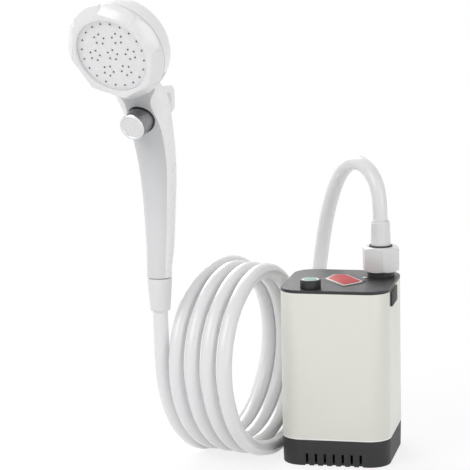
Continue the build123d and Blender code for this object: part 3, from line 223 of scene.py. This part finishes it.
# Hose: one smooth line from the pump's outlet, over the lid, round the coil and up to the handle
hose = {
    "diameter": 0.0105,
    "length": 2.09,
    "order": 3,
    "resolution": 8,
    "roundness": 5,
    "start": (
        (0.025, 0.0208, 0.141),
        (0.025, 0.0208, 0.1705),
        (0.0229, 0.0231, 0.186),
        (0.017, 0.0298, 0.1956),
        (0.0085, 0.0395, 0.2006),
        (0.0002, 0.0489, 0.1995),
        (-0.0078, 0.0579, 0.1926),
        (-0.0147, 0.0657, 0.18),
        (-0.0203, 0.0721, 0.1645),
        (-0.025, 0.0773, 0.146),
        (-0.029, 0.082, 0.124),
        (-0.0325, 0.086, 0.101),
        (-0.0355, 0.0885, 0.078),
        (-0.0385, 0.088, 0.055),
        (-0.0413, 0.0825, 0.033),
        (-0.0435, 0.071, 0.016),
        (-0.0444, 0.056, 0.008),
        (-0.0444, 0.039, 0.0058),
        (-0.0443, 0.021, 0.0054),
        (-0.0448, 0.005, 0.0054),
    ),
    "end": (
        (-0.0978, -0.014, 0.0066),
        (-0.103, -0.027, 0.013),
        (-0.1084, -0.039, 0.0245),
        (-0.1124, -0.048, 0.041),
        (-0.1147, -0.054, 0.06),
        (-0.11535, -0.05683, 0.082),
        (-0.11535, -0.05683, 0.12245),
    ),
}
coil = {
    "centre": (-0.0916, -0.0014, 0.0694),
    "heading": -20,
    "radius": 0.064,
    "pitch": 0.013,
    "turns": 4,
    "perTurn": 12,
    "lean": 0.0046,
    "leanPerTurn": 0.0023,
    "leanPower": 1.15,
    "looseUpTo": 0.5,
    "looseLoop": 0.0115,
    "looseStep": 0.003,
}


def coilPoint(turn):
    angle = math.radians(360 * turn)
    heading = math.radians(coil["heading"])
    along = Vector((math.cos(heading), math.sin(heading), 0))
    across = Vector((-math.sin(heading), math.cos(heading), 0))
    lean = ((1 + math.sin(angle)) / 2) ** coil["leanPower"]
    shift = coil["pitch"] * turn - (coil["lean"] + coil["leanPerTurn"] * turn) * lean
    radius = coil["radius"]
    # The last loop lies larger and looser than the rest
    if turn < coil["looseUpTo"]:
        loose = max(math.sin(angle), 0)
        radius += coil["looseLoop"] * loose
        shift += coil["looseStep"] * loose
    spoke = across * math.sin(angle) - Vector((0, 0, 1)) * math.cos(angle)
    return Vector(coil["centre"]) + along * shift + spoke * radius


def addHose():
    steps = coil["turns"] * coil["perTurn"]
    turns = [coilPoint(coil["turns"] - step / coil["perTurn"]) for step in range(steps + 1)]
    points = list(hose["start"]) + turns + list(hose["end"])
    data = bpy.data.curves.new("hoseLine", "CURVE")
    data.dimensions = "3D"
    spline = data.splines.new("NURBS")
    spline.points.add(len(points) - 1)
    for place, point in zip(spline.points, points):
        place.co = (*point, 1)
    spline.order_u = hose["order"]
    spline.use_endpoint_u = True
    spline.resolution_u = hose["resolution"]
    # The points carry the hose's radius: a curve's box reaches one point radius past them
    for point in spline.points:
        point.radius = hose["diameter"] / 2
    data.bevel_depth = 1.0
    data.bevel_resolution = hose["roundness"]
    data.use_fill_caps = True
    line = bpy.data.objects.new("hoseTube", data)
    bpy.context.scene.collection.objects.link(line)
    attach(line, "case")
    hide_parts("hose_riser", "hose_coil", "hose_lead")
    return line


hoseTube = addHose()
print("hose laid")

# Hand shower: where its face and its stop button stand, and how far they look down
handset = {
    "place": (-0.11535, -0.05683, 0.13505),
    "turn": -14,
    "face": (0, -0.0543, 0.15605),
    "faceTilt": 23,
    "stop": (0, -0.0199, 0.11005),
    "stopTilt": 18.7,
    "stopFaceRise": 0.0126,
}
turnHandset = Matrix.Rotation(math.radians(handset["turn"]), 4, "Z")


def onHandset(place):
    return Vector(handset["place"]) + turnHandset @ Vector(place)


def lookOut(tilt):
    angle = math.radians(tilt)
    return turnHandset @ Vector((0, -math.cos(angle), -math.sin(angle)))


faceAt = onHandset(handset["face"])
faceOut = lookOut(handset["faceTilt"])
faceRight = turnHandset @ Vector((1, 0, 0))
faceUp = faceOut.cross(faceRight)
stopOut = lookOut(handset["stopTilt"])
stopFace = onHandset(handset["stop"]).dot(stopOut) + handset["stopFaceRise"]

# Finishes
vinyl = moulded("hoseVinyl", (0.8, 0.8, 0.81), 0.3, grain=900, depth=0.00003, coat=0.5)
hoseTube.data.materials.append(vinyl)
baseBlack = moulded("baseBlack", (0.018, 0.018, 0.019), 0.55, grain=3200)
lidBlack = moulded("lidBlack", (0.022, 0.022, 0.024), 0.38, grain=3600)
# the second colour is a painted highlight along the sleeve's bottom edge
shellPaint = shellPaintFinish("shellPaint", (0.76, 0.76, 0.7), (0.95, 0.95, 0.93), 0.0193, 0.38)
nutWhite = moulded("nutWhite", (0.76, 0.76, 0.76), 0.32, coat=0.2)
ferruleWhite = moulded("ferruleWhite", (0.78, 0.78, 0.78), 0.4)
coneGrey = moulded("coneGrey", (0.76, 0.76, 0.77), 0.3, coat=0.3)
# painted shade: the front cover is greyed and darkened towards the neck, though it is the same
# white plastic as the rear shell
handleShadeLow, handleShadeHigh = (0.7, 0.7, 0.71), (0.46, 0.47, 0.48)
handleGrey = gradedFinish("handleGrey", 0.17, 0.275, handleShadeLow, handleShadeHigh, 0.3, 0.35)
handleWhite = moulded("handleWhite", (0.88, 0.88, 0.88), 0.28, coat=0.4)
ringWhite = moulded("ringWhite", (0.8, 0.8, 0.81), 0.22, coat=0.6)
plateGrey = moulded("plateGrey", (0.8, 0.8, 0.81), 0.45, grain=1400, depth=0.00006)
trimPale = moulded("trimPale", (0.78, 0.82, 0.78), 0.3, coat=0.4)
capGreen = moulded("capGreen", (0.15, 0.36, 0.26), 0.35, coat=0.3)
lensClear = moulded("lensClear", (0.5, 0.52, 0.5), 0.15, coat=0.8)
rubberBlack = moulded("rubberBlack", (0.016, 0.016, 0.016), 0.6, grain=2400)
trimBlack = moulded("trimBlack", (0.012, 0.012, 0.012), 0.25, coat=0.4)
innerPlastic = moulded("innerPlastic", (0.5, 0.51, 0.52), 0.45)
innerBlack = moulded("innerBlack", (0.03, 0.03, 0.03), 0.45)
sealRubber = moulded("sealRubber", (0.02, 0.02, 0.02), 0.55)
cellWrap = moulded("cellWrap", (0.06, 0.2, 0.5), 0.3, coat=0.3)
boardGreen = moulded("boardGreen", (0.01, 0.14, 0.05), 0.35, coat=0.3)
siliconeTube = moulded("siliconeTube", (0.7, 0.71, 0.71), 0.35)
# the stop button's pale face and dark side are painted reflection
brightMetal = capFinish("brightMetal", stopOut, stopFace, (0.8, 0.8, 0.81), (0.26, 0.26, 0.27))
steel = moulded("steel", (0.55, 0.55, 0.56), 0.35, mottle=0.06, Metallic=1.0)
brass = moulded("brass", (0.7, 0.5, 0.22), 0.3, mottle=0.06, Metallic=1.0)

finishOf = {
    "base_strainer": baseBlack,
    "lid": lidBlack,
    "button_collar": lidBlack,
    "button_trim": trimPale,
    "power_button": capGreen,
    "lamp_lens": lensClear,
    "case_sleeve": shellPaint,
    "port_cover": rubberBlack,
    "hose_nut": nutWhite,
    "hose_ferrule": ferruleWhite,
    "cone_nut": coneGrey,
    "handset_front_cover": handleGrey,
    "handset_rear_shell": handleWhite,
    "face_ring": ringWhite,
    "spray_plate": plateGrey,
    "stop_button": brightMetal,
    "stop_bezel": trimBlack,
    "outlet_spigot": innerBlack,
    "hose_insert": brass,
    "cone_insert": brass,
    "battery_cells": cellWrap,
    "circuit_board": boardGreen,
    "outlet_tube": siliconeTube,
}
for name in ("motor", "motor_shaft", "case_screws", "valve_spring", "valve_rod", "charge_socket"):
    finishOf[name] = steel
for name in ("switch_body", "switch_plunger"):
    finishOf[name] = innerBlack
for name in nodes:
    if name.endswith(("seal", "gasket", "washer")):
        finishOf[name] = sealRubber
for name, node in nodes.items():
    node.data.materials.clear()
    node.data.materials.append(finishOf.get(name, innerPlastic))
print("finishes set")

bodyOf = {}
for body, members in frame["record"]["behaviour"]["bodies"].items():
    for member in members:
        bodyOf[member] = body


def pick(piece):
    bpy.ops.object.select_all(action="DESELECT")
    piece.select_set(True)
    bpy.context.view_layer.objects.active = piece


def settle(piece):
    # Puts the piece's place into its mesh
    pick(piece)
    bpy.ops.object.transform_apply(location=True, rotation=True, scale=True)


# Small rounded edges on the moulded and machined pieces, in metres
edges = {
    "case_sleeve": 0.0003,
    "base_strainer": 0.0004,
    "hose_nut": 0.0006,
    "cone_nut": 0.0004,
    "face_ring": 0.0003,
    "port_cover": 0.0003,
    "button_collar": 0.0003,
}


# Welding distance in metres, and angles in degrees
rounding = {"weld": 0.000005, "flat": 0.6, "sharp": 32, "smooth": 30, "segments": 2}


def roundEdges(name, width):
    rounded = name.replace("_", "") + "Rounded"
    piece = bpy.data.objects.new(rounded, nodes[name].data.copy())
    bpy.context.scene.collection.objects.link(piece)
    pick(piece)
    bpy.ops.object.mode_set(mode="EDIT")
    bpy.ops.mesh.select_all(action="SELECT")
    bpy.ops.mesh.remove_doubles(threshold=rounding["weld"])
    bpy.ops.mesh.dissolve_limited(angle_limit=math.radians(rounding["flat"]))
    bpy.ops.object.mode_set(mode="OBJECT")
    bevel = piece.modifiers.new("edge", "BEVEL")
    bevel.width = width
    bevel.segments = rounding["segments"]
    bevel.limit_method = "ANGLE"
    bevel.angle_limit = math.radians(rounding["sharp"])
    bpy.ops.object.modifier_apply(modifier="edge")
    bpy.ops.object.shade_smooth_by_angle(angle=math.radians(rounding["smooth"]))
    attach(piece, bodyOf[name])
    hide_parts(name)
    print("rounded", name, len(piece.data.polygons), "faces")


for name, width in edges.items():
    roundEdges(name, width)

# Badge plate on the lid, left bare, with its pale border and the dark recess round it.
# The outlines are in millimetres, the rest in metres and degrees.
badge = {
    "height": 0.1236,
    "outline": ((-13.6, 2.2), (-9.2, 20.6), (2.6, 21.2), (18.6, -3.4), (16.6, -10.6), (5.4, -22.6)),
    "border": ((-11.2, 2.6), (-8.1, 18.4), (1.3, 19.0), (16.2, -3.2), (14.6, -8.6), (5.4, -19.8)),
    "plate": ((-9.4, 2.6), (-6.9, 16.6), (0.6, 17.1), (14.2, -3.1), (12.9, -7.6), (5.0, -17.2)),
    "step": 0.00025,
    "soften": 0.4,
    "segments": 3,
    "sharp": 30,
    "smooth": 35,
}


def addPlate(name, outline, low, high, finish):
    bpy.ops.object.select_all(action="DESELECT")
    bpy.ops.mesh.primitive_circle_add(
        vertices=len(outline), radius=0.01, fill_type="NGON", location=(0, 0, low)
    )
    piece = bpy.context.active_object
    piece.name = name
    settle(piece)
    for vertex, corner in zip(piece.data.vertices, outline):
        vertex.co = (corner[0] / 1000, corner[1] / 1000, low)
    pick(piece)
    bpy.ops.object.mode_set(mode="EDIT")
    bpy.ops.mesh.select_all(action="SELECT")
    bpy.ops.mesh.extrude_region_move(TRANSFORM_OT_translate={"value": (0, 0, high - low)})
    bpy.ops.mesh.select_all(action="SELECT")
    bpy.ops.mesh.normals_make_consistent(inside=False)
    bpy.ops.object.mode_set(mode="OBJECT")
    bevel = piece.modifiers.new("corners", "BEVEL")
    bevel.width = (high - low) * badge["soften"]
    bevel.segments = badge["segments"]
    bevel.limit_method = "ANGLE"
    bevel.angle_limit = math.radians(badge["sharp"])
    bpy.ops.object.modifier_apply(modifier="corners")
    bpy.ops.object.shade_smooth_by_angle(angle=math.radians(badge["smooth"]))
    piece.data.materials.append(finish)
    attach(piece, "case")
    return piece


step = badge["step"]
top = badge["height"]
badgeBlack = moulded("badgeBlack", (0.008, 0.008, 0.009), 0.5)
addPlate("badgeSurround", badge["outline"], top - step, top + step, badgeBlack)
borderPale = moulded("badgePale", (0.55, 0.5, 0.45), 0.3, coat=0.4)
addPlate("badgeBorder", badge["border"], top, top + 2 * step, borderPale)
badgeRed = moulded("badgeRed", (0.5, 0.008, 0.012), 0.55, mottle=0.18)
addPlate("badgePlate", badge["plate"], top + step, top + 3 * step, badgeRed)
print("badge laid")

# Black ring filling the gap round the ferrule's foot, in the hose nut: painted shade for the nut's
# hole
nutRing = {"place": (0.025, 0.0208, 0.1446), "radius": 0.0076, "thickness": 0.00062, "tall": 1.5}


def addNutRing():
    bpy.ops.object.select_all(action="DESELECT")
    bpy.ops.mesh.primitive_torus_add(
        location=nutRing["place"],
        major_radius=nutRing["radius"],
        minor_radius=nutRing["thickness"],
        major_segments=48,
        minor_segments=12,
    )
    ring = bpy.context.active_object
    ring.name = "ferruleRing"
    settle(ring)
    bpy.ops.object.mode_set(mode="EDIT")
    bpy.ops.mesh.select_all(action="SELECT")
    bpy.ops.transform.resize(value=(1, 1, nutRing["tall"]), center_override=nutRing["place"])
    bpy.ops.object.mode_set(mode="OBJECT")
    bpy.ops.object.shade_smooth()
    # dark rubber here stands in for the shade inside the nut's hole
    ring.data.materials.append(sealRubber)
    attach(ring, "case")


addNutRing()

# Rubber tips of the spray nozzles: an outer ring of twenty and seven clusters of five
nozzles = {
    "ring": 0.0224,
    "ringCount": 20,
    "clusterRing": 0.0133,
    "cluster": 0.00358,
    "base": 0.00064,
    "tip": 0.00046,
    "height": 0.0006,
    "sides": 12,
    "wall": 0.35,
    "boreDepth": 0.7,
    "rise": 0.4,
    "sink": 0.0001,
    "middleStart": 9,
    "clusterStart": 3,
    "innerStart": 36,
    "clusterCount": 6,
    "perCluster": 5,
}


def spoke(radius, angle):
    turn = math.radians(angle)
    return Vector((radius * math.cos(turn), radius * math.sin(turn)))


def cluster(start):
    count = nozzles["perCluster"]
    turns = [start + 360 / count * step for step in range(count)]
    return [spoke(nozzles["cluster"], turn) for turn in turns]


def nozzlePlaces():
    count = nozzles["ringCount"]
    outer = [180 / count + 360 * step / count for step in range(count)]
    places = [spoke(nozzles["ring"], angle) for angle in outer]
    places += cluster(nozzles["middleStart"])
    for group in range(nozzles["clusterCount"]):
        turn = 360 / nozzles["clusterCount"] * group
        middle = spoke(nozzles["clusterRing"], nozzles["clusterStart"] + turn)
        places += [middle + place for place in cluster(nozzles["innerStart"] + turn)]
    return places


def addNozzleTips():
    bpy.ops.object.select_all(action="DESELECT")
    bpy.ops.mesh.primitive_cone_add(
        vertices=nozzles["sides"],
        radius1=nozzles["base"],
        radius2=nozzles["tip"],
        depth=nozzles["height"],
        end_fill_type="NGON",
    )
    first = bpy.context.active_object
    bpy.ops.object.mode_set(mode="EDIT")
    bpy.ops.mesh.select_all(action="DESELECT")
    bpy.ops.object.mode_set(mode="OBJECT")
    for face in first.data.polygons:
        face.select = face.normal.z > 0.9
    bpy.ops.object.mode_set(mode="EDIT")
    bpy.ops.mesh.inset(thickness=nozzles["tip"] * nozzles["wall"])
    bore = (0, 0, -nozzles["height"] * nozzles["boreDepth"])
    bpy.ops.mesh.extrude_region_move(TRANSFORM_OT_translate={"value": bore})
    bpy.ops.object.mode_set(mode="OBJECT")
    stand = Matrix((faceRight, faceUp, faceOut)).transposed().to_4x4()
    proud = faceOut * (nozzles["height"] * nozzles["rise"] - nozzles["sink"])
    tips = []
    for place in nozzlePlaces():
        tip = bpy.data.objects.new("nozzleTip", first.data.copy())
        bpy.context.scene.collection.objects.link(tip)
        middle = faceAt + faceRight * place.x + faceUp * place.y + proud
        tip.matrix_world = Matrix.Translation(middle) @ stand
        tips.append(tip)
    bpy.data.objects.remove(first)
    bpy.ops.object.select_all(action="DESELECT")
    for tip in tips:
        tip.select_set(True)
    bpy.context.view_layer.objects.active = tips[0]
    bpy.ops.object.join()
    joined = bpy.context.active_object
    joined.name = "nozzleTips"
    settle(joined)
    bpy.ops.object.shade_smooth_by_angle(angle=math.radians(40))
    joined.data.materials.append(moulded("nozzleRubber", (0.13, 0.13, 0.135), 0.6))
    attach(joined, "handset")


addNozzleTips()
print("nozzle tips set")

# Stage: a pale floor that shows white to the camera and keeps a soft shadow
stage = {
    "size": 8.0,
    "floorColour": 0.9,
    "ownWhite": 0.8,
    "fadeFrom": 0.3,
    "fadeTo": 0.9,
    "light": 0.55,
    "white": 1.0,
}


# Camera, glossy and transmission rays see the white ground, all others the lit one
def seenRays(tree):
    rays = tree.nodes.new("ShaderNodeLightPath")
    total = rays.outputs["Is Camera Ray"]
    for kind in ("Is Glossy Ray", "Is Transmission Ray"):
        step = tree.nodes.new("ShaderNodeMath")
        step.operation = "ADD"
        step.use_clamp = True
        tree.links.new(total, step.inputs[0])
        tree.links.new(rays.outputs[kind], step.inputs[1])
        total = step.outputs[0]
    return total


def mixInto(tree, factor, first, second, output):
    mix = tree.nodes.new("ShaderNodeMixShader")
    for slot, socket in enumerate((factor, first, second)):
        tree.links.new(socket, mix.inputs[slot])
    tree.links.new(mix.outputs[0], tree.nodes[output].inputs[0])


def addFloor():
    bpy.ops.object.select_all(action="DESELECT")
    bpy.ops.mesh.primitive_plane_add(size=stage["size"], location=(0, 0, 0))
    floor = bpy.context.active_object
    floor.name = "floor"
    finish = Finish("floorPale", Roughness=0.9, Base_Color=(stage["floorColour"],) * 3)
    away = finish.add("ShaderNodeVectorMath", {"operation": "LENGTH"}, finish.where(), out=1)
    fade = finish.ramp(away, stage["fadeFrom"], stage["fadeTo"])
    share = fade * (1 - stage["ownWhite"]) + stage["ownWhite"]
    seen = Wire(finish, seenRays(finish.tree)) * share
    glow = finish.tree.nodes.new("ShaderNodeEmission")
    shaders = (finish.shader.outputs[0], glow.outputs[0])
    mixInto(finish.tree, seen.socket, *shaders, "Material Output")
    floor.data.materials.append(finish.material)


def addWorld():
    world = bpy.data.worlds.new("studio")
    bpy.context.scene.world = world
    world.use_nodes = True
    tree = world.node_tree
    ground = tree.nodes["Background"]
    white = tree.nodes.new("ShaderNodeBackground")
    for shader, strength in ((ground, stage["light"]), (white, stage["white"])):
        shader.inputs["Color"].default_value = (1, 1, 1, 1)
        shader.inputs["Strength"].default_value = strength
    mixInto(tree, seenRays(tree), ground.outputs[0], white.outputs[0], "World Output")


lamps = {
    "key": {"place": (-1.1, -1.3, 1.5), "size": 1.2, "power": 15},
    "fill": {"place": (1.5, -1.2, 0.7), "size": 1.2, "power": 7},
    "back": {"place": (-0.9, 1.3, 1.0), "size": 1.2, "power": 20},
}

lampAim = Vector((-0.05, -0.02, 0.12))


def addLamps():
    for name, lamp in lamps.items():
        data = bpy.data.lights.new(name, "AREA")
        data.size = lamp["size"]
        data.energy = lamp["power"]
        light = bpy.data.objects.new(name, data)
        bpy.context.scene.collection.objects.link(light)
        place = Vector(lamp["place"])
        light.location = place
        light.rotation_euler = (lampAim - place).to_track_quat("-Z", "Y").to_euler()


addFloor()
addWorld()
addLamps()
bpy.context.scene.view_settings.view_transform = "Standard"
print("stage set")
